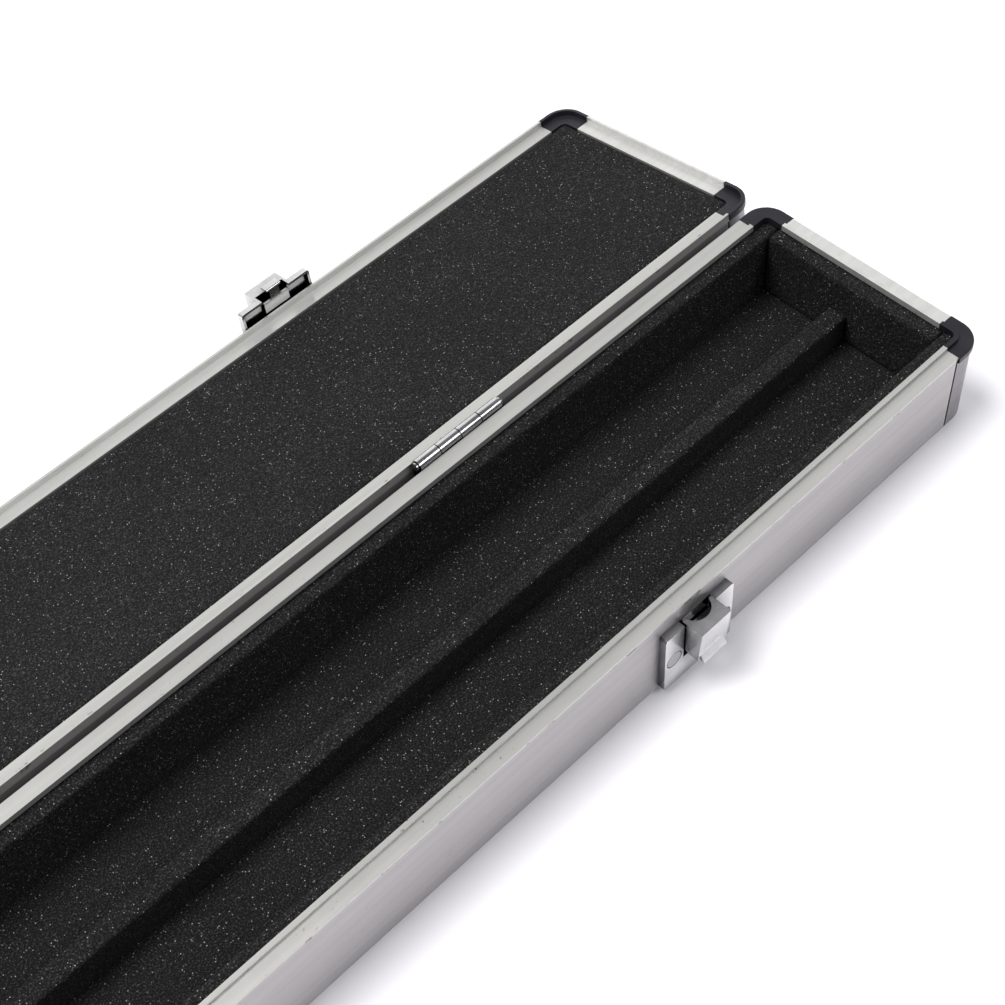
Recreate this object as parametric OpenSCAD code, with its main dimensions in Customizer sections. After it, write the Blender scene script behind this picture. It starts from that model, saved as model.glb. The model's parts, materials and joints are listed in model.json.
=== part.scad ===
// Slim cue case with an aluminium frame, foam lining and two spring catches.
// X runs along the case, the catches are on the -Y side and the hinges on the +Y side.
// The origin is the centre of the underside of the base. The lid is folded right back.

/* [Case] */
// Length of the case over its end panels
case_l = 1200; // [900:10:1500]
// Width of the base and of the lid
case_w = 90; // [86:1:110]
// Height of the base up to the flat of its rim
base_h = 35; // [35:0.5:45]
// Height of the lid from its rim to its top
lid_h = 22.5; // [21:0.5:32]
// Thickness of the panels
panel_t = 3; // [2.5:0.1:3.2]
// Outer radius of the upright corners
corner_r = 8; // [7.5:0.5:10]
// Radius of the long outer edges
edge_r = 2.4; // [1.5:0.1:2.4]
// Reach of a corner post from the corner
corner_leg = 12.5; // [11:0.5:16]
// Open joint between a panel and a corner post
seam = 0.8; // [0.3:0.1:1.2]

/* [Rims] */
// Width of a rim
rim_w = 6; // [5.2:0.1:6]
// Thickness of the rim metal
rim_t = 1; // [0.8:0.1:1.4]
// Width of the raised lip along the inner edge of the base rim
lip_w = 1.6; // [1.2:0.1:2]
// Height of that lip
lip_h = 1.2; // [1:0.1:1.8]
// Width of the outer strip of the lid rim
strip_w = 0.9; // [0.7:0.1:1.4]
// Depth of the groove in the lid rim
groove_d = 2; // [2:0.1:3]
// Depth of the inner leg of a rim, behind the panel
rim_leg = 7; // [4:0.5:10]
// Gap between the two rims when the lid is shut
rim_gap = 0.3; // [0.3:0.05:0.6]
// How far a corner cap stands out from the panels
cap_proud = 0.6; // [0.3:0.1:1]

/* [Foam] */
// Thickness of the foam floor of the base
foam_floor_t = 5; // [3:0.5:8]
// Distance of a channel from the outside of the base
channel_inset = 11; // [9:0.5:14]
// Width of the divider between the two channels
divider_w = 7; // [5:0.5:12]
// Height of the divider above the foam floor
divider_h = 13; // [8:0.5:20]
// Offset of the divider towards the hinges
divider_y = 2.5; // [-6:0.5:6]

/* [Hinges] */
// Distance of the outer hinges from the ends of the case
hinge_inset = 141.5; // [100:0.5:250]
// Length of a hinge
hinge_l = 35; // [30:1:50]
// Radius of the hinge barrel
barrel_r = 2.1; // [1.8:0.1:2.1]
// Radius of the hinge pin
pin_r = 1; // [0.8:0.1:1.2]
// Distance of the hinge axis from the back of the base
hinge_off = 2.4; // [2.4:0.1:3]
// Height of a hinge leaf
leaf_h = 12; // [10:0.5:16]

/* [Catches] */
// Distance of the catches from the ends of the case
catch_inset = 136.5; // [100:0.5:250]
// Width of a catch plate and of a strike plate
plate_w = 29.5; // [28:0.5:34]
// How far a catch plate stands out from the panel
plate_proud = 2.7; // [2.4:0.1:3.2]
// Width of the release lever
lever_w = 12.6; // [12:0.2:14]

/* [Handle] */
// Distance between the handle pivots
handle_span = 112; // [90:2:140]
// Distance from the pivots to the middle of the grip
handle_drop = 14; // [12:0.5:16]
// Radius of the grip at its middle
grip_r = 5.5; // [4.5:0.1:6]

/* [Hidden] */
$fn = 48;

half_l = case_l / 2;
half_w = case_w / 2;
fit = 0.1;

// Hinge axis, and the height of the shut lid's top
hinge_y = half_w + hinge_off;
hinge_z = base_h + rim_gap / 2;
lid_top_z = base_h + rim_gap + lid_h;

// The lid folds back past flat until its outer edge lies on the table
lid_reach = hinge_y + half_w - edge_r;
lid_depth = lid_top_z - edge_r - hinge_z;
lid_tilt = asin((hinge_z - edge_r) / norm([lid_reach, lid_depth])) - atan(lid_depth / lid_reach);

// Foam
foam_inset = panel_t + 1.7;
foam_floor_z = panel_t + foam_floor_t;
foam_top_z = base_h - rim_t - 0.4;

// Hinges
hinge_x = [-(half_l - hinge_inset), 0, half_l - hinge_inset];
leaf_t = 0.9;
knuckle_gap = 0.35;
knuckle_l = hinge_l / 4;
bore_play = 0.05;

// Fasteners
rivet_head_r = 1.8;
rivet_shank_r = 1.1;
rivet_sphere_r = 3.5;
rivet_head_h = 0.5;

// Catches: distances u out from the panel, heights z with the lid shut
catch_x = half_l - catch_inset;
sheet = 0.9;
catch_top_z = base_h - 6.8;
catch_bottom_z = 2.6;
ear_x = plate_w / 2 - 4;
ear_drop = 12.8;
dimple_r = 3.2;
dimple_d = 0.5;
ear_head_r = 2.9;
ear_shank_r = 1.6;
window_w = lever_w + 0.8;
lever_top_z = base_h - 6.1;
lever_bottom_z = lever_top_z - 15;
lever_wall = 0.7;
lever_u = 9;
lever_pin_u = 6;
lever_pin_z = lever_top_z - 4.4;
lever_pin_r = 0.8;
backing_t = 0.35;
cheek_x = 4.4;
cheek_t = 0.8;
cheek_u = 7.3;
notch_r = 5.2;
strike_bottom_z = base_h - 5.6;
strike_top_z = strike_bottom_z + 24.4;
strike_box_w = lever_w + 0.9;
strike_box_u = 8.8;
strike_mouth_u = 4.1;
strike_box_top_z = strike_bottom_z + 16.5;
claw_pin_u = 2.9;
claw_pin_z = strike_bottom_z + 13.6;
claw_boss_r = 1.6;
claw_w = 10.4;
claw_foot_z = lever_top_z + 2;
arm_w = 4;
arm_t = 0.7;
arm_u = 0.5;
toe_w = 6;
toe_u = 3.6;
toe_t = 1;
toe_top_z = lever_top_z - 1.4;
lock_z = strike_bottom_z + 7.6;
lock_r = 3.5;

// Handle
handle_u = grip_r + 2;
handle_z = handle_drop + grip_r + 3.5;
handle_pin_r = 1.2;
strap_t = 1.6;
strap_w = 6;
sleeve_l = handle_span - 26;
bracket_w = 9;
bracket_h = 20;
lug_t = 1.6;

// ---------------------------------------------------------------- placing

// Runs a profile along the front. Its x is the distance in from the outside, its y the height.
module along_front(length, x0)
    translate([x0, -half_w, 0])
        rotate([90, 0, 90])
            linear_extrude(length)
                children();

// Sweeps a profile round the front right corner, with straight legs on both sides
module round_corner(leg) {
    along_front(leg - corner_r, half_l - leg)
        children();
    translate([half_l - corner_r, -half_w + corner_r, 0])
        rotate([0, 0, -90])
            rotate_extrude(angle = 90)
                translate([corner_r, 0])
                    mirror([1, 0])
                        children();
    translate([half_l, -half_w + corner_r, 0])
        rotate([90, 0, 180])
            linear_extrude(leg - corner_r)
                children();
}

module four_corners(leg)
    for (mx = [0, 1], my = [0, 1])
        mirror([mx, 0, 0])
            mirror([0, my, 0])
                round_corner(leg)
                    children();

// Puts a piece that is drawn with the lid shut where the open lid has it
module lid_open()
    translate([0, hinge_y, hinge_z])
        rotate([-(180 + lid_tilt), 0, 0])
            translate([0, -hinge_y, -hinge_z])
                children();

// Puts a tray drawn the right way up where the open lid has it
module lid_tray()
    lid_open()
        translate([0, 0, lid_top_z])
            mirror([0, 0, 1])
                children();

// Side view shapes of a catch: x is the distance out from the panel, y the height
module catch_plate_side(width)
    translate([width / 2, -half_w, 0])
        rotate([90, 0, -90])
            linear_extrude(width)
                children();

module pin_along_x(length, r, u, z)
    translate([-length / 2, -half_w - u, z])
        rotate([0, 90, 0])
            cylinder(h = length, r = r);

// ---------------------------------------------------------------- profiles

// Upright panel with its outer lower edge rounded
module panel_profile(h) {
    intersection() {
        translate([edge_r, edge_r])
            circle(edge_r);
        square(edge_r);
    }
    translate([edge_r, 0])
        square([panel_t - edge_r, h]);
    translate([0, edge_r])
        square([panel_t, h - edge_r]);
}

module base_rim_profile(leg) {
    translate([0, base_h - rim_t])
        square([rim_w, rim_t]);
    translate([rim_w - lip_w, base_h - rim_t])
        square([lip_w, rim_t + lip_h]);
    if (leg > 0)
        translate([panel_t + fit, base_h - rim_t - leg])
            square([rim_t, leg + fit]);
}

module lid_rim_profile(leg) {
    translate([0, lid_h - groove_d - rim_t])
        square([rim_w, rim_t]);
    translate([0, lid_h - groove_d - rim_t])
        square([strip_w, groove_d + rim_t]);
    if (leg > 0)
        translate([panel_t + fit, lid_h - groove_d - rim_t - leg])
            square([rim_t, leg + fit]);
}

// Flange of a corner cap, which folds over the top of the post
module cap_flange(top) {
    translate([-cap_proud, top - 2.4])
        square([cap_proud, 2.4 - cap_proud]);
    intersection() {
        translate([0, top - cap_proud])
            circle(cap_proud);
        translate([-cap_proud, top - cap_proud])
            square(cap_proud);
    }
}

module base_cap_profile() {
    base_rim_profile(0);
    cap_flange(base_h);
}

module lid_cap_profile() {
    lid_rim_profile(0);
    cap_flange(lid_h);
}

module rounded_plate(l, w, r, h)
    linear_extrude(h)
        for (i = [0, 1])
            union() {
                square([l - 2 * r * i, w - 2 * r * (1 - i)], center = true);
                for (sx = [-1, 1], sy = [-1, 1])
                    translate([sx * (l / 2 - r), sy * (w / 2 - r)])
                        circle(r);
            }

// ---------------------------------------------------------------- trays

panel_l = case_l - 2 * (corner_leg + seam);
panel_end_l = case_w - 2 * (corner_leg + seam);
rim_l = case_l - 2 * (corner_leg + fit);
rim_end_l = case_w - 2 * (corner_leg + fit);

module floor_panel()
    rounded_plate(case_l - 2 * panel_t, case_w - 2 * panel_t, corner_r - panel_t, panel_t);

module front_panel(h)
    along_front(panel_l, -panel_l / 2)
        panel_profile(h);

module end_panel(h)
    translate([half_l, panel_end_l / 2, 0])
        rotate([90, 0, 0])
            mirror([1, 0, 0])
                linear_extrude(panel_end_l)
                    panel_profile(h);

module end_rim()
    translate([half_l, rim_end_l / 2, 0])
        rotate([90, 0, 0])
            mirror([1, 0, 0])
                linear_extrude(rim_end_l)
                    children();

module flip_y()
    mirror([0, 1, 0])
        children();

module flip_x()
    mirror([1, 0, 0])
        children();

panel_top = base_h - rim_t;
lid_panel_top = lid_h - groove_d - rim_t;

module base_bottom_panel() color("silver") floor_panel();
module base_front_panel() color("silver") front_panel(panel_top);
module base_back_panel() color("silver") flip_y() front_panel(panel_top);
module base_end_panel_right() color("silver") end_panel(panel_top);
module base_end_panel_left() color("silver") flip_x() end_panel(panel_top);

module base_front_rim() color("gainsboro") along_front(rim_l, -rim_l / 2) base_rim_profile(rim_leg);
module base_back_rim() color("gainsboro") flip_y() along_front(rim_l, -rim_l / 2) base_rim_profile(rim_leg);
module base_end_rim_right() color("gainsboro") end_rim() base_rim_profile(rim_leg);
module base_end_rim_left() color("gainsboro") flip_x() end_rim() base_rim_profile(rim_leg);

module base_corner_caps() color("#17171b") four_corners(corner_leg) base_cap_profile();
module base_corner_posts() color("darkgray") four_corners(corner_leg) panel_profile(panel_top);

module lid_top_panel() color("silver") lid_tray() floor_panel();
module lid_front_panel() color("silver") lid_tray() front_panel(lid_panel_top);
module lid_back_panel() color("silver") lid_tray() flip_y() front_panel(lid_panel_top);
module lid_end_panel_right() color("silver") lid_tray() end_panel(lid_panel_top);
module lid_end_panel_left() color("silver") lid_tray() flip_x() end_panel(lid_panel_top);

module lid_front_rim() color("gainsboro") lid_tray() along_front(rim_l, -rim_l / 2) lid_rim_profile(rim_leg);
module lid_back_rim() color("gainsboro") lid_tray() flip_y() along_front(rim_l, -rim_l / 2) lid_rim_profile(rim_leg);
module lid_end_rim_right() color("gainsboro") lid_tray() end_rim() lid_rim_profile(rim_leg);
module lid_end_rim_left() color("gainsboro") lid_tray() flip_x() end_rim() lid_rim_profile(rim_leg);

module lid_corner_caps() color("#17171b") lid_tray() four_corners(corner_leg) lid_cap_profile();
module lid_corner_posts() color("darkgray") lid_tray() four_corners(corner_leg) panel_profile(lid_panel_top);

// ---------------------------------------------------------------- foam

foam_l = case_l - 2 * foam_inset;
foam_h = foam_top_z - foam_floor_z;
channel_l = case_l - 2 * channel_inset;
wall_t = channel_inset - foam_inset;

module foam_block(x, y, z, size)
    color("#2a2a2c")
        translate([x, y, z])
            cube(size);

module base_foam_floor()
    foam_block(-foam_l / 2, -half_w + foam_inset, panel_t, [foam_l, case_w - 2 * foam_inset, foam_floor_t]);

module base_foam_front()
    foam_block(-foam_l / 2, -half_w + foam_inset, foam_floor_z, [foam_l, wall_t, foam_h]);

module base_foam_back() flip_y() base_foam_front();

module base_foam_end_right()
    foam_block(half_l - channel_inset, -half_w + channel_inset, foam_floor_z,
        [wall_t, case_w - 2 * channel_inset, foam_h]);

module base_foam_end_left() flip_x() base_foam_end_right();

module base_foam_divider()
    color("#2a2a2c")
        translate([-channel_l / 2, divider_y, foam_floor_z])
            rotate([90, 0, 90])
                linear_extrude(channel_l)
                    union() {
                        translate([-divider_w / 2, 0])
                            square([divider_w, divider_h - divider_w / 2]);
                        translate([0, divider_h - divider_w / 2])
                            circle(divider_w / 2);
                    }

module lid_foam_pad()
    color("#2a2a2c")
        lid_tray()
            translate([0, 0, panel_t])
                rounded_plate(case_l - 2 * (rim_w + 0.3), case_w - 2 * (rim_w + 0.3), corner_r - rim_w - 0.3,
                    lid_panel_top + rim_t - panel_t);

// ---------------------------------------------------------------- hinges

module rivet()
    union() {
        intersection() {
            translate([0, 0, rivet_head_h - rivet_sphere_r])
                sphere(rivet_sphere_r);
            cylinder(h = rivet_head_h, r = rivet_head_r);
        }
        translate([0, 0, -leaf_t])
            cylinder(h = leaf_t + 0.2, r = rivet_shank_r);
    }

module leaf_rivet_places()
    for (dx = [-1, 0, 1])
        translate([dx * hinge_l / 3, half_w + leaf_t, hinge_z - leaf_h + 3.2])
            rotate([-90, 0, 0])
                children();

// One leaf with the knuckles numbered in its list, drawn on the back of the base
module hinge_leaf(knuckles)
    color("gainsboro")
        difference() {
            union() {
                translate([-hinge_l / 2, half_w, hinge_z - leaf_h])
                    cube([hinge_l, leaf_t, leaf_h - barrel_r - 0.4]);
                for (k = knuckles) {
                    x0 = -hinge_l / 2 + k * knuckle_l + knuckle_gap / 2;
                    translate([x0, hinge_y, hinge_z])
                        rotate([0, 90, 0])
                            cylinder(h = knuckle_l - knuckle_gap, r = barrel_r);
                    translate([x0, half_w, hinge_z - barrel_r - 0.6])
                        cube([knuckle_l - knuckle_gap, leaf_t, barrel_r + 0.6]);
                }
            }
            translate([-hinge_l, hinge_y, hinge_z])
                rotate([0, 90, 0])
                    cylinder(h = 2 * hinge_l, r = pin_r + bore_play);
            leaf_rivet_places()
                translate([0, 0, -2 * leaf_t])
                    cylinder(h = 3 * leaf_t, r = rivet_shank_r);
        }

module base_leaf(i) translate([hinge_x[i], 0, 0]) hinge_leaf([0, 2]);

module lid_leaf(i)
    lid_open()
        translate([hinge_x[i], 0, 2 * hinge_z])
            mirror([0, 0, 1])
                hinge_leaf([1, 3]);

module hinge_leaf_base_left() base_leaf(0);
module hinge_leaf_base_middle() base_leaf(1);
module hinge_leaf_base_right() base_leaf(2);
module hinge_leaf_lid_left() lid_leaf(0);
module hinge_leaf_lid_middle() lid_leaf(1);
module hinge_leaf_lid_right() lid_leaf(2);

module base_rivets()
    color("gainsboro")
        for (x = hinge_x)
            translate([x, 0, 0])
                leaf_rivet_places()
                    rivet();

module lid_rivets()
    color("gainsboro")
        lid_open()
            for (x = hinge_x)
                translate([x, 0, 2 * hinge_z])
                    mirror([0, 0, 1])
                        leaf_rivet_places()
                            rivet();

// Pins with a peened head at each end
module hinge_pins()
    color("gainsboro")
        for (x = hinge_x)
            translate([x, hinge_y, hinge_z])
                rotate([0, 90, 0])
                    union() {
                        cylinder(h = hinge_l + 0.2, r = pin_r, center = true);
                        for (s = [-1, 1])
                            translate([0, 0, s * (hinge_l / 2 + 0.4)])
                                cylinder(h = 0.6, r = pin_r + 0.5, center = true);
                    }

// ---------------------------------------------------------------- catches

module at_catches()
    for (s = [-1, 1])
        translate([s * catch_x, 0, 0])
            children();

module oblong(r, l)
    union() {
        square([l - 2 * r, 2 * r], center = true);
        for (s = [-1, 1])
            translate([s * (l / 2 - r), 0])
                circle(r);
    }

// Front view of a pressed plate, standing out from the front panel between two distances
module on_front(u0, u1)
    translate([0, -half_w - u0, 0])
        rotate([90, 0, 0])
            linear_extrude(u1 - u0)
                children();

module plate_outline(z0, z1)
    union() {
        translate([-plate_w / 2 + 1, z0])
            square([plate_w - 2, z1 - z0]);
        translate([-plate_w / 2, z0 + 1])
            square([plate_w, z1 - z0 - 2]);
        for (sx = [-1, 1], z = [z0 + 1, z1 - 1])
            translate([sx * (plate_w / 2 - 1), z])
                circle(1);
    }

// Dished plate: a face with a turned-back edge. u_back is where the turned edge ends.
module dished_plate(z0, z1, u_back)
    difference() {
        on_front(u_back, plate_proud)
            plate_outline(z0, z1);
        on_front(-1, plate_proud - sheet)
            translate([-plate_w / 2 + sheet, z0 + sheet])
                square([plate_w - 2 * sheet, z1 - z0 - 2 * sheet]);
    }

// The bottom of the dimple in each ear of a plate, where a rivet head sits
module at_ears(z)
    for (s = [-1, 1])
        translate([s * ear_x, -half_w - plate_proud + dimple_d, z])
            rotate([90, 0, 0])
                children();

module ear_dimples(z)
    at_ears(z) {
        cylinder(h = 2 * dimple_d, r = dimple_r);
        translate([0, 0, -plate_proud])
            cylinder(h = 2 * plate_proud, r = ear_shank_r);
    }

// Flat rivets through the ears, down to the panel
module ear_rivets(z)
    at_ears(z) {
        cylinder(h = dimple_d, r = ear_head_r);
        translate([0, 0, -plate_proud + dimple_d])
            cylinder(h = plate_proud, r = ear_shank_r);
    }

// Fixed part of a catch: the plate, the cheeks that carry the lever pin, the tab that joins them,
// and a thin backing behind the lever
module catch_plate()
    color("gainsboro")
        difference() {
            union() {
                difference() {
                    dished_plate(catch_bottom_z, catch_top_z, 0);
                    on_front(-1, plate_proud + 1)
                        translate([-window_w / 2, lever_bottom_z - 2])
                            square([window_w, 40]);
                }
                on_front(0, plate_proud)
                    translate([-window_w / 2, lever_bottom_z - 3])
                        square([window_w, sheet + 0.4]);
                on_front(0, sheet)
                    translate([-cheek_x - cheek_t, lever_bottom_z - 3])
                        square([2 * (cheek_x + cheek_t), 12]);
                on_front(0, backing_t)
                    translate([-lever_w / 2, lever_bottom_z - 3])
                        square([lever_w, catch_top_z - lever_bottom_z + 3]);
                for (s = [-1, 1])
                    translate([s * (cheek_x + cheek_t / 2), 0, 0])
                        catch_plate_side(cheek_t)
                            polygon([
                                [0, lever_bottom_z - 2],
                                [0, lever_pin_z + 1.5],
                                [cheek_u, lever_pin_z + 1.5],
                                [cheek_u, lever_bottom_z + 5]
                            ]);
            }
            ear_dimples(catch_top_z - ear_drop);
            pin_along_x(plate_w, lever_pin_r, lever_pin_u, lever_pin_z);
        }

module catch_plate_left() translate([-catch_x, 0, 0]) catch_plate();
module catch_plate_right() translate([catch_x, 0, 0]) catch_plate();

module catch_rivets()
    color("silver")
        at_catches()
            ear_rivets(catch_top_z - ear_drop);

module lever_pins()
    color("gainsboro")
        at_catches()
            pin_along_x(lever_w - 0.8, lever_pin_r, lever_pin_u, lever_pin_z);

// Hood that is pulled out at its lower lip. Its top has a round notch for the claw.
module release_lever()
    color("gainsboro")
        difference() {
            union() {
                difference() {
                    catch_plate_side(lever_w)
                        lever_side();
                    catch_plate_side(lever_w - 2 * lever_wall)
                        lever_hollow();
                }
                catch_plate_side(lever_w - 2.6)
                    lever_lip();
            }
            translate([0, -half_w, lever_top_z - 2 * lever_wall])
                cylinder(h = 4 * lever_wall, r = notch_r);
            pin_along_x(lever_w - 0.4, lever_pin_r + bore_play, lever_pin_u, lever_pin_z);
        }

module lever_side()
    polygon([
        [1.3, lever_top_z],
        [lever_u, lever_top_z],
        [lever_u - 1.1, lever_bottom_z + 1],
        [lever_u - 1.8, lever_bottom_z + 1],
        [1.6, lever_bottom_z + 2],
        [1.3, lever_bottom_z + 3]
    ]);

// Flared lip for the fingertip
module lever_lip()
    polygon([
        [lever_u - 1.8, lever_bottom_z + 2.4],
        [lever_u - 1, lever_bottom_z + 2.4],
        [lever_u + 0.3, lever_bottom_z + 0.4],
        [lever_u + 0.3, lever_bottom_z - 0.2],
        [lever_u - 0.4, lever_bottom_z - 0.2],
        [lever_u - 1.8, lever_bottom_z + 1]
    ]);

module lever_hollow()
    polygon([
        [0, lever_top_z - lever_wall],
        [lever_u - lever_wall - 0.05, lever_top_z - lever_wall],
        [lever_u - lever_wall - 1.15, lever_bottom_z - 0.7],
        [0, lever_bottom_z - 0.7]
    ]);

module release_lever_left() translate([-catch_x, 0, 0]) release_lever();
module release_lever_right() translate([catch_x, 0, 0]) release_lever();

// Part of a catch on the lid: a dished plate with a hollow box that holds the claw and the lock
module strike_plate()
    color("gainsboro")
        difference() {
            union() {
                dished_plate(strike_bottom_z, strike_top_z, 0);
                on_front(plate_proud - sheet, strike_box_u)
                    translate([-strike_box_w / 2, strike_bottom_z])
                        square([strike_box_w, strike_box_top_z - strike_bottom_z]);
            }
            on_front(plate_proud - sheet - 0.1, strike_box_u - sheet)
                translate([-strike_box_w / 2 + sheet, strike_bottom_z + sheet])
                    square([strike_box_w - 2 * sheet, strike_box_top_z - strike_bottom_z - 2 * sheet]);
            on_front(-1, strike_mouth_u)
                translate([-strike_box_w / 2 + sheet, strike_bottom_z - 1])
                    square([strike_box_w - 2 * sheet, strike_box_top_z - strike_bottom_z + 1 - sheet]);
            on_front(-1, 0.4)
                translate([-plate_w, strike_bottom_z - 1])
                    square([2 * plate_w, base_h + rim_gap + 0.2 - strike_bottom_z + 1]);
            ear_dimples(strike_bottom_z + ear_drop);
            pin_along_x(strike_box_w + 0.4, lever_pin_r, claw_pin_u, claw_pin_z);
            translate([0, -half_w - strike_box_u + 3, lock_z])
                rotate([90, 0, 0])
                    cylinder(h = 6, r = lock_r);
        }

module strike_plate_left() lid_open() translate([-catch_x, 0, 0]) strike_plate();
module strike_plate_right() lid_open() translate([catch_x, 0, 0]) strike_plate();

module strike_rivets()
    color("silver")
        lid_open()
            at_catches()
                ear_rivets(strike_bottom_z + ear_drop);

module claw_pins()
    color("gainsboro")
        lid_open()
            at_catches()
                pin_along_x(strike_box_w + 0.4, lever_pin_r, claw_pin_u, claw_pin_z);

// Plate that hangs from its pin. The toe of its arm swings out under the top of the release lever.
module claw()
    color("gainsboro")
        difference() {
            union() {
                pin_along_x(claw_w, claw_boss_r, claw_pin_u, claw_pin_z);
                catch_plate_side(claw_w)
                    polygon([
                        [arm_u, claw_foot_z],
                        [arm_u + arm_t, claw_foot_z],
                        [arm_u + arm_t, claw_pin_z - 6],
                        [claw_pin_u + 0.4, claw_pin_z],
                        [claw_pin_u - claw_boss_r + 0.1, claw_pin_z],
                        [arm_u, claw_pin_z - 5]
                    ]);
                catch_plate_side(arm_w)
                    translate([arm_u, toe_top_z - 0.2])
                        square([arm_t, claw_foot_z - toe_top_z + 0.4]);
                catch_plate_side(toe_w)
                    translate([(arm_u + toe_u) / 2, toe_top_z - toe_t / 2])
                        oblong(toe_t / 2, toe_u - arm_u);
            }
            pin_along_x(plate_w, lever_pin_r + bore_play, claw_pin_u, claw_pin_z);
        }

module claw_left() lid_open() translate([-catch_x, 0, 0]) claw();
module claw_right() lid_open() translate([catch_x, 0, 0]) claw();

// Round lock in the front of the strike box, with a collar behind the wall and a keyway
module lock_barrel()
    color("gainsboro")
        translate([0, -half_w - strike_box_u + sheet, lock_z])
            rotate([90, 0, 0])
                difference() {
                    union() {
                        translate([0, 0, -2.5])
                            cylinder(h = 2.5 + sheet + 0.4, r = lock_r);
                        translate([0, 0, -0.8])
                            cylinder(h = 0.8, r = lock_r + 0.8);
                    }
                    translate([-0.5, -1.8, 0.1])
                        cube([1, 3.6, 4]);
                }

module lock_barrel_left() lid_open() translate([-catch_x, 0, 0]) lock_barrel();
module lock_barrel_right() lid_open() translate([catch_x, 0, 0]) lock_barrel();

// ---------------------------------------------------------------- handle

module handle_bracket(s)
    color("gainsboro")
        translate([s * handle_span / 2, 0, 0])
            difference() {
                union() {
                    on_front(0, 1.4)
                        translate([-bracket_w / 2, handle_z - bracket_h / 2])
                            square([bracket_w, bracket_h]);
                    for (e = [-1, 1])
                        translate([e * (strap_t / 2 + 0.4 + lug_t / 2), 0, 0])
                            catch_plate_side(lug_t)
                                union() {
                                    translate([0, handle_z - 3])
                                        square([handle_u, 6]);
                                    translate([handle_u, handle_z])
                                        circle(3);
                                }
                }
                pin_along_x(20, handle_pin_r, handle_u, handle_z);
                bracket_screw_places()
                    translate([0, 0, -3])
                        cylinder(h = 6, r = rivet_shank_r);
            }

module bracket_screw_places()
    for (dz = [-1, 1])
        translate([0, -half_w - 1.4, handle_z + dz * (bracket_h / 2 - 3)])
            rotate([90, 0, 0])
                children();

module handle_bracket_left() handle_bracket(-1);
module handle_bracket_right() handle_bracket(1);

module handle_pins()
    color("gainsboro")
        for (s = [-1, 1])
            translate([s * handle_span / 2, 0, 0])
                pin_along_x(strap_t + 0.8 + 2 * lug_t + 1, handle_pin_r, handle_u, handle_z);

module handle_screws()
    color("gainsboro")
        for (s = [-1, 1])
            translate([s * handle_span / 2, 0, 0])
                bracket_screw_places()
                    difference() {
                        rivet();
                        translate([-2, -0.25, 0.4])
                            cube([4, 0.5, 1]);
                    }

// Steel strap from pivot to pivot, which runs through the sleeve
module handle_bail()
    color("gainsboro")
        difference() {
            union() {
                for (s = [-1, 1])
                    translate([s * handle_span / 2, 0, 0])
                        catch_plate_side(strap_t)
                            union() {
                                translate([handle_u, handle_z])
                                    circle(strap_w / 2);
                                translate([handle_u - strap_w / 2, handle_z - handle_drop])
                                    square([strap_w, handle_drop]);
                                translate([handle_u, handle_z - handle_drop])
                                    circle(strap_w / 2);
                            }
                pin_along_x(handle_span, 2, handle_u, handle_z - handle_drop);
            }
            pin_along_x(handle_span + 20, handle_pin_r + bore_play, handle_u, handle_z);
        }

// Moulded sleeve with a fuller middle
module handle_sleeve()
    color("#17171b")
        translate([0, -half_w - handle_u, handle_z - handle_drop])
            rotate([0, 90, 0])
                difference() {
                    union() {
                        cylinder(h = sleeve_l, r = grip_r - 0.8, center = true);
                        intersection() {
                            cylinder(h = sleeve_l, r = grip_r, center = true);
                            rotate_extrude($fn = 96)
                                intersection() {
                                    translate([-400 + grip_r, 0])
                                        circle(400, $fn = 720);
                                    translate([0, -sleeve_l / 2])
                                        square([grip_r, sleeve_l]);
                                }
                        }
                        for (s = [-1, 1])
                            translate([0, 0, s * (sleeve_l / 2 - 1.5)])
                                cylinder(h = 3, r = grip_r, center = true);
                    }
                    cylinder(h = sleeve_l + 2, r = 2, center = true);
                }

// ---------------------------------------------------------------- nodes

base_bottom_panel();
base_front_panel();
base_back_panel();
base_end_panel_left();
base_end_panel_right();
base_front_rim();
base_back_rim();
base_end_rim_left();
base_end_rim_right();
base_corner_caps();
base_corner_posts();
base_foam_floor();
base_foam_front();
base_foam_back();
base_foam_divider();
base_foam_end_left();
base_foam_end_right();
hinge_leaf_base_left();
hinge_leaf_base_middle();
hinge_leaf_base_right();
base_rivets();
catch_plate_left();
catch_plate_right();
catch_rivets();
lever_pins();
release_lever_left();
release_lever_right();
handle_bracket_left();
handle_bracket_right();
handle_screws();
handle_pins();
handle_bail();
handle_sleeve();
lid_top_panel();
lid_front_panel();
lid_back_panel();
lid_end_panel_left();
lid_end_panel_right();
lid_front_rim();
lid_back_rim();
lid_end_rim_left();
lid_end_rim_right();
lid_corner_caps();
lid_corner_posts();
lid_foam_pad();
hinge_leaf_lid_left();
hinge_leaf_lid_middle();
hinge_leaf_lid_right();
hinge_pins();
lid_rivets();
strike_plate_left();
strike_plate_right();
strike_rivets();
claw_left();
claw_right();
claw_pins();
lock_barrel_left();
lock_barrel_right();
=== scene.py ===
"""Cue case: studio scene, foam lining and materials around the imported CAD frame."""
import json
import math

import bmesh
import bpy
from mathutils import Matrix, Vector, noise


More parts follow.
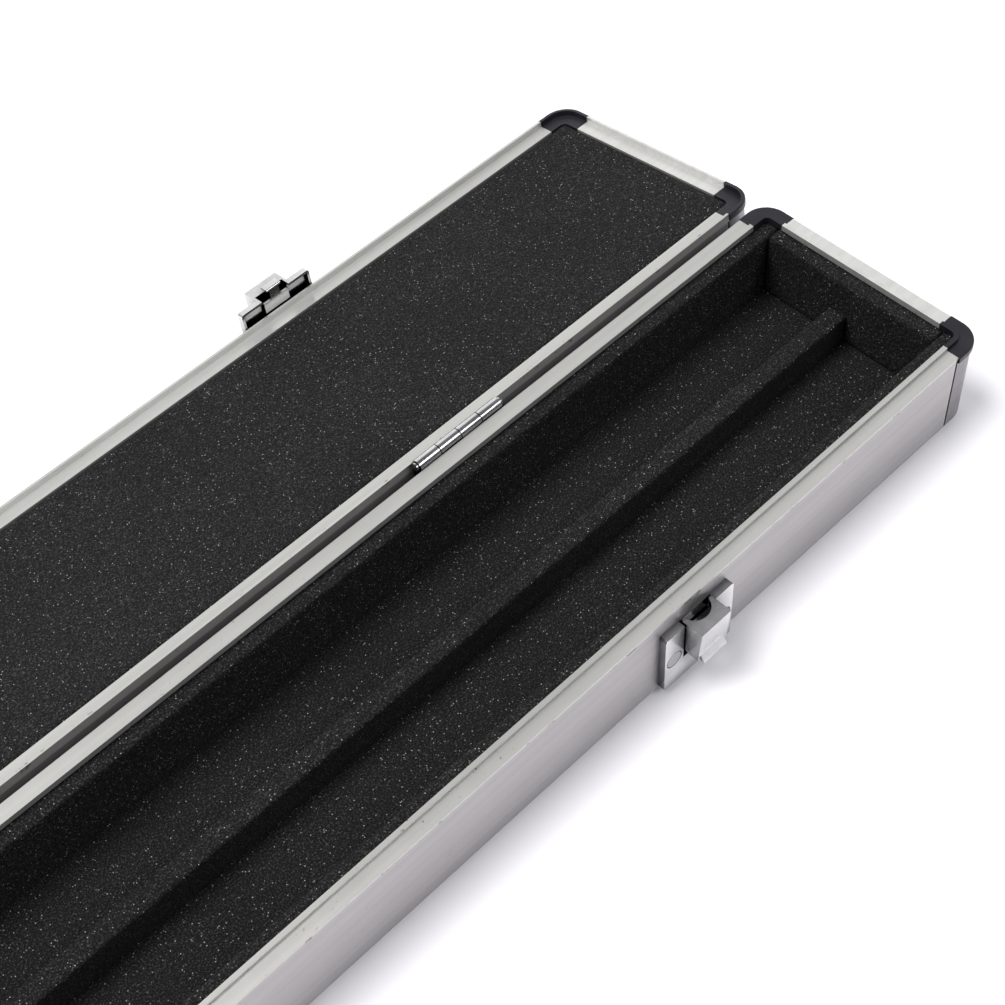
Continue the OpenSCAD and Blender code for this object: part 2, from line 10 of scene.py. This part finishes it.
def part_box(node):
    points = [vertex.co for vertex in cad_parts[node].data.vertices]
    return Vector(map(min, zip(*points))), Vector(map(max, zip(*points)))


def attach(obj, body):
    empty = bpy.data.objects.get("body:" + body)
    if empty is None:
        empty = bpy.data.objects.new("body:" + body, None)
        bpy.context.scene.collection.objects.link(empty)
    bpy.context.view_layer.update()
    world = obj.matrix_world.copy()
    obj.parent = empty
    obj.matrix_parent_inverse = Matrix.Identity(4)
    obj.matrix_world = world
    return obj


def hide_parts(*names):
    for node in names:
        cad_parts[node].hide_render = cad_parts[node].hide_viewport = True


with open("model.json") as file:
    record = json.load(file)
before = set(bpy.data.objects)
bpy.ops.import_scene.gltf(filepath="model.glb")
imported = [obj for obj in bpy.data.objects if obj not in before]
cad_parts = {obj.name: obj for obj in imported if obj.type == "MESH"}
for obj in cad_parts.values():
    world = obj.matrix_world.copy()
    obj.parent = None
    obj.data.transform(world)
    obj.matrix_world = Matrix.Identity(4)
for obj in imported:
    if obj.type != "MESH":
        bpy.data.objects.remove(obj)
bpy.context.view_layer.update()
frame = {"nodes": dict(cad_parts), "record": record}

MM = 0.001

# Right-hand end of the case, without its corner caps, which stand proud
END_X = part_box("base_corner_posts")[1][0]
# Height of the joint between the base's panels and rims, and how far its stains spread
SEAM_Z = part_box("base_front_panel")[1][2]
SEAM_REACH = 0.6 * MM

# How far away a surface still shelters a corner, so that painted shade darkens it there
PAINTED_SHADE_REACH = 9.0 * MM

# Foam: spacing of the mesh, radius of the arrises, depth and scales of the unevenness
FOAM_STEP = 2.5 * MM
FOAM_ROUND = 1.2 * MM
FOAM_RELIEF = 0.12 * MM
FOAM_WAVES = (180.0, 600.0)
# Places of the extra cuts near each face, as shares of the arris's radius
FOAM_CUTS = (0.3, 1.0)
# Foam nodes of the base, which soft blocks replace
BASE_FOAM = ("base_foam_floor", "base_foam_front", "base_foam_back", "base_foam_divider",
             "base_foam_end_left", "base_foam_end_right")

# Angle in degrees by which the lid's limit stops short of the shut lid
SHUT_PLAY = 0.05

# Camera, as fitted to the case's straight edges
CAMERA_TURN = math.radians(42.14)
CAMERA_DROP = math.radians(52.22)
CAMERA_ROLL = math.radians(-3.68)
CAMERA_PLACE = Vector((END_X - 0.39877, -0.25537, 0.51179))
CAMERA_LENS = 72.3
CAMERA_SENSOR = 36.0
CAMERA_NEAR = 0.01

# Floor: half its width, and how far it lies below the case
FLOOR_REACH = 20.0
FLOOR_DROP = 0.2 * MM

# Lights: what they aim at, and for each its place, size, power and colour
LIGHT_AIM = Vector((END_X - 0.15, 0.0, 0.0))
KEY = {"place": Vector((END_X - 1.9, 1.1, 4.2)), "size": 2.6, "power": 240.0, "color": (1.0, 0.99, 0.98)}
FILL = {"place": Vector((END_X + 0.75, -2.9, 3.1)), "size": 2.4, "power": 70.0, "color": (0.97, 0.98, 1.0)}

# Backdrop: its direction from the case, and the cosines over which it fades in from the sides and the top
BACKDROP_WAY = (0.67, 0.74, 0.0)
BACKDROP_SIDES = (-0.1, 0.5)
BACKDROP_TOP = (-0.90, -0.66)
DOWN = (0.0, 0.0, -1.0)

# Inputs and output of a colour Mix node, whose names repeat
MIX_FACTOR, MIX_A, MIX_B = 0, 6, 7
MIX_RESULT = 2

# Colours
WHITE = (1.0, 1.0, 1.0)
DIRT = (0.16, 0.09, 0.045)
RUST = (0.11, 0.055, 0.025)
# Colour of the painted shade in corners and gaps
PAINTED_SHADE_COLOR = (0.030, 0.032, 0.036)
# Colour of the glints painted on the foam
PAINTED_GLINT = (0.50, 0.49, 0.48)
PANEL = (0.455, 0.44, 0.445)
POST = (0.27, 0.26, 0.275)
# End rims painted lighter and long rims painted darker: painted light and shade on one rim aluminium
LIT_END_RIM = (0.70, 0.70, 0.68)
SHADED_LONG_RIM = (0.55, 0.55, 0.53)
ROOM = (0.13, 0.125, 0.14)


# ---------------------------------------------------------------- material helpers

def grey(value):
    return (value, value, value)


class Nodes:
    """A material being built: its tree, its shader and its object coordinates."""

    def __init__(self, name):
        self.mat = bpy.data.materials.new(name)
        self.mat.use_nodes = True
        self.tree = self.mat.node_tree
        self.shader = self.tree.nodes["Principled BSDF"]
        self.coord = self.tree.nodes.new("ShaderNodeTexCoord").outputs["Object"]

    def new(self, kind, **values):
        """Adds a node. Each value goes to the input of that name, or else to the property."""
        node = self.tree.nodes.new(kind)
        for key, value in values.items():
            if key in node.inputs:
                node.inputs[key].default_value = value
            else:
                setattr(node, key, value)
        return node

    def link(self, out, to):
        self.tree.links.new(out, to)

    def set(self, name, value):
        """Sets a shader input that is the same all over, or links one that varies."""
        if isinstance(value, bpy.types.NodeSocket):
            self.link(value, self.shader.inputs[name])
        else:
            self.shader.inputs[name].default_value = value

    def stretched(self, scale):
        """Object coordinates scaled along each axis. A scale under 1 draws the texture out."""
        mapping = self.new("ShaderNodeMapping", Scale=scale)
        self.link(self.coord, mapping.inputs["Vector"])
        return mapping.outputs["Vector"]

    def noise(self, scale, detail, roughness, vector=None):
        """Noise over the object, or over other coordinates. A larger scale is finer."""
        node = self.new("ShaderNodeTexNoise", Scale=scale, Detail=detail, Roughness=roughness)
        self.link(vector or self.coord, node.inputs["Vector"])
        return node.outputs["Fac"]

    def cells(self, scale):
        """A Voronoi texture: its outputs give the distance to a cell's middle, and a colour per cell."""
        node = self.new("ShaderNodeTexVoronoi", feature="F1", Scale=scale)
        self.link(self.coord, node.inputs["Vector"])
        return node.outputs

    def ramp(self, fac, stops):
        """Maps fac to a colour through stops, a list of positions with their colours."""
        node = self.new("ShaderNodeValToRGB")
        elements = node.color_ramp.elements
        while len(elements) < len(stops):
            elements.new(0.5)
        for element, (position, color) in zip(elements, stops):
            element.position = position
            element.color = (*color, 1.0)
        self.link(fac, node.inputs["Fac"])
        return node.outputs["Color"]

    def mix(self, fac, a, color):
        """The socket a, turning into a plain color as fac rises."""
        node = self.new("ShaderNodeMix", data_type="RGBA")
        self.link(fac, node.inputs[MIX_FACTOR])
        self.link(a, node.inputs[MIX_A])
        node.inputs[MIX_B].default_value = (*color, 1.0)
        return node.outputs[MIX_RESULT]

    def times(self, a, b):
        """Two colours multiplied."""
        node = self.new("ShaderNodeMix", data_type="RGBA", blend_type="MULTIPLY")
        node.inputs[MIX_FACTOR].default_value = 1.0
        self.link(a, node.inputs[MIX_A])
        self.link(b, node.inputs[MIX_B])
        return node.outputs[MIX_RESULT]

    def both(self, a, b):
        """Two masks multiplied."""
        node = self.new("ShaderNodeMath", operation="MULTIPLY")
        self.link(a, node.inputs[0])
        self.link(b, node.inputs[1])
        return node.outputs[0]

    def near_height(self, z, reach):
        """A mask that is 1 within reach of the height z."""
        place = self.new("ShaderNodeSeparateXYZ")
        self.link(self.coord, place.inputs[0])
        near = self.new("ShaderNodeMath", operation="COMPARE")
        near.inputs[1].default_value = z
        near.inputs[2].default_value = reach
        self.link(place.outputs["Z"], near.inputs[0])
        return near.outputs[0]

    def painted_shade(self, dark, unshaded):
        """Painted shade from ambient occlusion: dark in corners and gaps more closed than the first
        threshold, and white where more open than the second.
        """
        corner = self.new("ShaderNodeAmbientOcclusion", samples=8, Distance=PAINTED_SHADE_REACH)
        return self.ramp(corner.outputs["AO"], [(dark, PAINTED_SHADE_COLOR), (unshaded, WHITE)])

    def spread(self, fac, low, high):
        """fac, rescaled to run from low to high."""
        node = self.new("ShaderNodeMapRange")
        node.inputs["To Min"].default_value = low
        node.inputs["To Max"].default_value = high
        self.link(fac, node.inputs["Value"])
        return node.outputs["Result"]

    def bump(self, height, strength, distance, below=None):
        """A bump of that distance in metres, on top of the bump below."""
        node = self.new("ShaderNodeBump", Strength=strength, Distance=distance)
        self.link(height, node.inputs["Height"])
        if below is not None:
            self.link(below, node.inputs["Normal"])
        return node.outputs["Normal"]


# ---------------------------------------------------------------- materials

def aluminium(name, color, rough, grain, dirt=0.0, metallic=1.0, stained=True):
    """Satin aluminium with a fine grain along X, faint smudges, specks of dirt and a stained seam."""
    nodes = Nodes(name)
    fine = nodes.noise(grain, 4.0, 0.6, nodes.stretched((0.03, 1.0, 1.0)))
    dull = tuple(c * 0.93 for c in color)
    bright = tuple(min(1.0, c * 1.03) for c in color)
    shade = nodes.ramp(nodes.noise(14.0, 4.0, 0.6), [(0.25, dull), (0.75, bright)])
    if dirt:
        speck = nodes.ramp(nodes.noise(700.0, 2.0, 0.5), [(0.70, grey(0.0)), (0.76, grey(1.0))])
        patch = nodes.ramp(nodes.noise(9.0, 3.0, 0.6), [(0.50, grey(0.0)), (0.66, grey(dirt))])
        shade = nodes.mix(nodes.both(speck, patch), shade, DIRT)
    if stained:
        stain = nodes.ramp(nodes.noise(230.0, 4.0, 0.7), [(0.58, grey(0.0)), (0.68, grey(0.75))])
        shade = nodes.mix(nodes.both(nodes.near_height(SEAM_Z, SEAM_REACH), stain), shade, RUST)
    streak = nodes.noise(260.0, 4.0, 0.65, nodes.stretched((0.012, 1.0, 1.0)))
    shade = nodes.times(shade, nodes.ramp(streak, [(0.32, grey(0.88)), (0.60, grey(1.0))]))
    # Painted shade darkens the colour in corners and gaps
    nodes.set("Base Color", nodes.times(shade, nodes.painted_shade(0.0, 0.06)))
    nodes.set("Metallic", metallic)
    nodes.set("Roughness", nodes.spread(nodes.noise(30.0, 5.0, 0.65), rough - 0.07, rough + 0.07))
    nodes.set("Normal", nodes.bump(fine, 0.25, 0.04 * MM))
    return nodes.mat


def chrome(name):
    """Nickel plate with painted shade in its corners, light smudges and hairline scratches."""
    nodes = Nodes(name)
    unshaded = nodes.ramp(nodes.noise(120.0, 4.0, 0.6), [(0.3, grey(0.62)), (0.7, grey(0.80))])
    # Painted shade darkens the plate in corners and gaps
    nodes.set("Base Color", nodes.times(unshaded, nodes.painted_shade(0.45, 0.97)))
    nodes.set("Metallic", 1.0)
    nodes.set("Roughness", nodes.spread(nodes.noise(260.0, 5.0, 0.7), 0.10, 0.26))
    scratch = nodes.noise(900.0, 3.0, 0.6, nodes.stretched((0.05, 1.0, 1.0)))
    nodes.set("Normal", nodes.bump(scratch, 0.15, 0.03 * MM))
    return nodes.mat


def black_plastic(name):
    """Moulded plastic with a fine grained skin."""
    nodes = Nodes(name)
    cloud = nodes.noise(60.0, 4.0, 0.6)
    nodes.set("Base Color", nodes.ramp(cloud, [(0.3, (0.008, 0.008, 0.011)), (0.7, (0.018, 0.018, 0.023))]))
    nodes.set("Roughness", nodes.spread(nodes.noise(300.0, 4.0, 0.6), 0.30, 0.48))
    nodes.set("Specular IOR Level", 0.3)
    nodes.set("Normal", nodes.bump(nodes.noise(2500.0, 2.0, 0.5), 0.3, 0.05 * MM))
    return nodes.mat


def foam(name):
    """Open-cell foam: black, with pinholes and painted glints, bright dots painted into the colour on chosen
    cells.
    """
    nodes = Nodes(name)
    grain = nodes.noise(1900.0, 3.0, 0.75)
    base = nodes.ramp(grain, [(0.40, grey(0.003)), (0.55, grey(0.018)), (0.68, grey(0.17))])
    cloud = nodes.ramp(nodes.noise(25.0, 4.0, 0.6), [(0.3, grey(0.34)), (0.7, grey(0.50))])
    # Painted glints: small bright dots on a share of the cells
    spots = nodes.cells(1500.0)
    spot = nodes.ramp(spots["Distance"], [(0.16, grey(1.0)), (0.28, grey(0.0))])
    chosen = nodes.ramp(spots["Color"], [(0.76, grey(0.0)), (0.86, grey(1.0))])
    nodes.set("Base Color", nodes.mix(nodes.times(spot, chosen), nodes.times(base, cloud), PAINTED_GLINT))
    nodes.set("Roughness", 0.92)
    nodes.set("Specular IOR Level", 0.25)
    pores = nodes.bump(nodes.cells(900.0)["Distance"], 0.8, 0.4 * MM)
    nodes.set("Normal", nodes.bump(grain, 0.7, 0.3 * MM, pores))
    return nodes.mat


def floor_material(name):
    """A white studio floor that glows a little, so that it stays white around the case."""
    nodes = Nodes(name)
    cloud = nodes.noise(3.0, 3.0, 0.5)
    nodes.set("Base Color", nodes.ramp(cloud, [(0.3, (0.88, 0.87, 0.90)), (0.7, (0.90, 0.89, 0.92))]))
    nodes.set("Emission Color", (*WHITE, 1.0))
    nodes.set("Emission Strength", 0.04)
    nodes.set("Roughness", 0.85)
    return nodes.mat


MATERIALS = {
    "panel_aluminium": aluminium("panel_aluminium", PANEL, rough=0.42, grain=900.0, dirt=0.3,
                                 metallic=0.85),
    "post_aluminium": aluminium("post_aluminium", POST, rough=0.40, grain=900.0, stained=False),
    "rim_aluminium": aluminium("rim_aluminium", LIT_END_RIM, rough=0.36, grain=1100.0, dirt=0.6,
                               metallic=0.65),
    "shaded_long_rim": aluminium("shaded_long_rim", SHADED_LONG_RIM, rough=0.36, grain=1100.0, dirt=0.8, metallic=0.65),
    "black_plastic": black_plastic("black_plastic"),
    "foam": foam("foam"),
    "chrome": chrome("chrome"),
}

# Width of the bevel on the arrises, by material slot
BEVELS = {"chrome": 0.22 * MM, "rim_aluminium": 0.15 * MM, "black_plastic": 0.25 * MM}
BEVEL_ANGLE = math.radians(40)

# The long rims are painted darker than the end rims: painted shade on one rim aluminium, whose end rims are
# painted lighter as painted light
OWN_MATERIAL = dict.fromkeys(("base_front_rim", "base_back_rim", "lid_front_rim", "lid_back_rim"), "shaded_long_rim")


def dress_cad():
    """Gives every CAD node the material of its slot, or its own, and bevels the arrises of those whose slot
    has a bevel width.
    """
    for sub in frame["record"]["subparts"]:
        slot = sub["material_slot"]
        obj = frame["nodes"][sub["node"]]
        obj.data.materials.clear()
        obj.data.materials.append(MATERIALS[OWN_MATERIAL.get(sub["node"], slot)])
        if slot in BEVELS:
            bevel = obj.modifiers.new("edge", "BEVEL")
            bevel.width = BEVELS[slot]
            bevel.segments = 2
            bevel.limit_method = "ANGLE"
            bevel.angle_limit = BEVEL_ANGLE


# ---------------------------------------------------------------- foam pieces

def cut_box(mesh, low, high):
    """Cuts a box in a grid, with extra cuts near each face for the rounded arrises."""
    for axis in range(3):
        normal = Vector([1.0 if i == axis else 0.0 for i in range(3)])
        size = high[axis] - low[axis]
        count = max(2, int(size / FOAM_STEP))
        cuts = [low[axis] + size * k / count for k in range(1, count)]
        cuts += [low[axis] + FOAM_ROUND * share for share in FOAM_CUTS]
        cuts += [high[axis] - FOAM_ROUND * share for share in FOAM_CUTS]
        for cut in cuts:
            bmesh.ops.bisect_plane(mesh, geom=mesh.verts[:] + mesh.edges[:] + mesh.faces[:],
                                   plane_co=normal * cut, plane_no=normal)


def soften(mesh, low, high):
    """Rounds the arrises and sinks the surface unevenly, by FOAM_RELIEF at most."""
    for v in mesh.verts:
        inner = Vector([min(max(v.co[i], low[i] + FOAM_ROUND), high[i] - FOAM_ROUND) for i in range(3)])
        away = v.co - inner
        if away.length > 0:
            wave = sum(noise.noise(v.co * scale) * 0.5 for scale in FOAM_WAVES)
            v.co = inner + away.normalized() * (FOAM_ROUND - FOAM_RELIEF * (0.5 + 0.5 * wave))


def soft_block(name, low, high, place):
    """A foam block with rounded arrises and a slightly uneven surface. It stays within its box."""
    mesh = bmesh.new()
    bmesh.ops.create_cube(mesh, size=1.0)
    for v in mesh.verts:
        v.co = Vector([low[i] + (v.co[i] + 0.5) * (high[i] - low[i]) for i in range(3)])
    cut_box(mesh, low, high)
    soften(mesh, low, high)
    bmesh.ops.transform(mesh, matrix=place, verts=mesh.verts[:])
    data = bpy.data.meshes.new(name)
    mesh.to_mesh(data)
    mesh.free()
    data.shade_smooth()
    obj = bpy.data.objects.new(name, data)
    bpy.context.scene.collection.objects.link(obj)
    obj.data.materials.append(MATERIALS["foam"])
    return obj


def add_foam(node, body, low, high, place=Matrix.Identity(4)):
    """A soft block in place of the CAD node, riding on its body."""
    piece = soft_block("soft_" + node, low, high, place)
    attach(piece, body)
    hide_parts(node)


def base_foam():
    for node in BASE_FOAM:
        low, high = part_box(node)
        add_foam(node, "base", low, high)


def lid_foam():
    """The pad lies in the lid, which is tilted about the hinge axis."""
    hinge = next(j for j in frame["record"]["behaviour"]["joints"] if j["name"] == "lid_hinge")
    axis = Vector(hinge["pos_m"])
    tilt = math.radians(hinge["range_deg"][1] - 180.0 + SHUT_PLAY)
    place = Matrix.Translation(axis) @ Matrix.Rotation(-tilt, 4, "X") @ Matrix.Translation(-axis)
    flat = place.inverted()
    verts = [flat @ v.co for v in frame["nodes"]["lid_foam_pad"].data.vertices]
    low = [min(v[i] for v in verts) for i in range(3)]
    high = [max(v[i] for v in verts) for i in range(3)]
    add_foam("lid_foam_pad", "lid", low, high, place)


# ---------------------------------------------------------------- studio

def camera():
    """Looks down on the right-hand end, from in front."""
    flat = Vector((math.sin(CAMERA_TURN), math.cos(CAMERA_TURN), 0.0))
    look = flat * math.cos(CAMERA_DROP) - Vector((0.0, 0.0, math.sin(CAMERA_DROP)))
    right = Vector((math.cos(CAMERA_TURN), -math.sin(CAMERA_TURN), 0.0))
    up = right.cross(look)
    side = math.cos(CAMERA_ROLL) * right + math.sin(CAMERA_ROLL) * up
    top = -math.sin(CAMERA_ROLL) * right + math.cos(CAMERA_ROLL) * up
    cam = bpy.data.cameras.new("camera")
    cam.lens = CAMERA_LENS
    cam.sensor_width = CAMERA_SENSOR
    cam.clip_start = CAMERA_NEAR
    obj = bpy.data.objects.new("camera", cam)
    basis = Matrix((side, top, -look)).transposed().to_4x4()
    obj.matrix_world = Matrix.Translation(CAMERA_PLACE) @ basis
    bpy.context.scene.collection.objects.link(obj)
    bpy.context.scene.camera = obj


def area_light(name, place, size, power, color):
    """A round soft light, aimed at the right-hand end of the case."""
    data = bpy.data.lights.new(name, "AREA")
    data.shape = "DISK"
    data.size = size
    data.energy = power
    data.color = color
    obj = bpy.data.objects.new(name, data)
    obj.location = place
    obj.rotation_euler = (LIGHT_AIM - place).to_track_quat("-Z", "Y").to_euler()
    bpy.context.scene.collection.objects.link(obj)


def sweep_world():
    """A dim room with a bright backdrop low down behind the case, which the metal reflects."""
    world = bpy.data.worlds.new("world")
    world.use_nodes = True
    tree = world.node_tree
    background = tree.nodes["Background"]
    direction = tree.nodes.new("ShaderNodeTexCoord").outputs["Generated"]

    def along(axis, start, end):
        """A mask that rises from 0 to 1 as the direction turns towards the axis."""
        dot = tree.nodes.new("ShaderNodeVectorMath")
        dot.operation = "DOT_PRODUCT"
        dot.inputs[1].default_value = axis
        tree.links.new(direction, dot.inputs[0])
        fade = tree.nodes.new("ShaderNodeMapRange")
        fade.interpolation_type = "SMOOTHSTEP"
        fade.inputs["From Min"].default_value = start
        fade.inputs["From Max"].default_value = end
        tree.links.new(dot.outputs["Value"], fade.inputs["Value"])
        return fade.outputs["Result"]

    glow = tree.nodes.new("ShaderNodeMath")
    glow.operation = "MULTIPLY"
    tree.links.new(along(BACKDROP_WAY, *BACKDROP_SIDES), glow.inputs[0])
    tree.links.new(along(DOWN, *BACKDROP_TOP), glow.inputs[1])
    mix = tree.nodes.new("ShaderNodeMix")
    mix.data_type = "RGBA"
    mix.inputs[MIX_A].default_value = (*ROOM, 1.0)
    mix.inputs[MIX_B].default_value = (*WHITE, 1.0)
    tree.links.new(glow.outputs[0], mix.inputs[MIX_FACTOR])
    tree.links.new(mix.outputs[MIX_RESULT], background.inputs["Color"])
    background.inputs["Strength"].default_value = 1.0
    return world


def floor():
    """A wide floor just below the case."""
    signs = ((-1, -1), (1, -1), (1, 1), (-1, 1))
    corners = [(x * FLOOR_REACH, y * FLOOR_REACH, 0.0) for x, y in signs]
    data = bpy.data.meshes.new("floor")
    data.from_pydata(corners, [], [(0, 1, 2, 3)])
    data.materials.append(floor_material("floor"))
    obj = bpy.data.objects.new("floor", data)
    obj.location.z = -FLOOR_DROP
    bpy.context.scene.collection.objects.link(obj)


def studio():
    """Floor and world, with a key light behind on the left and a fill light in front on the right."""
    floor()
    area_light("key", **KEY)
    area_light("fill", **FILL)
    scene = bpy.context.scene
    scene.world = sweep_world()
    scene.view_settings.view_transform = "Standard"
    scene.view_settings.look = "None"


dress_cad()
base_foam()
lid_foam()
studio()
camera()
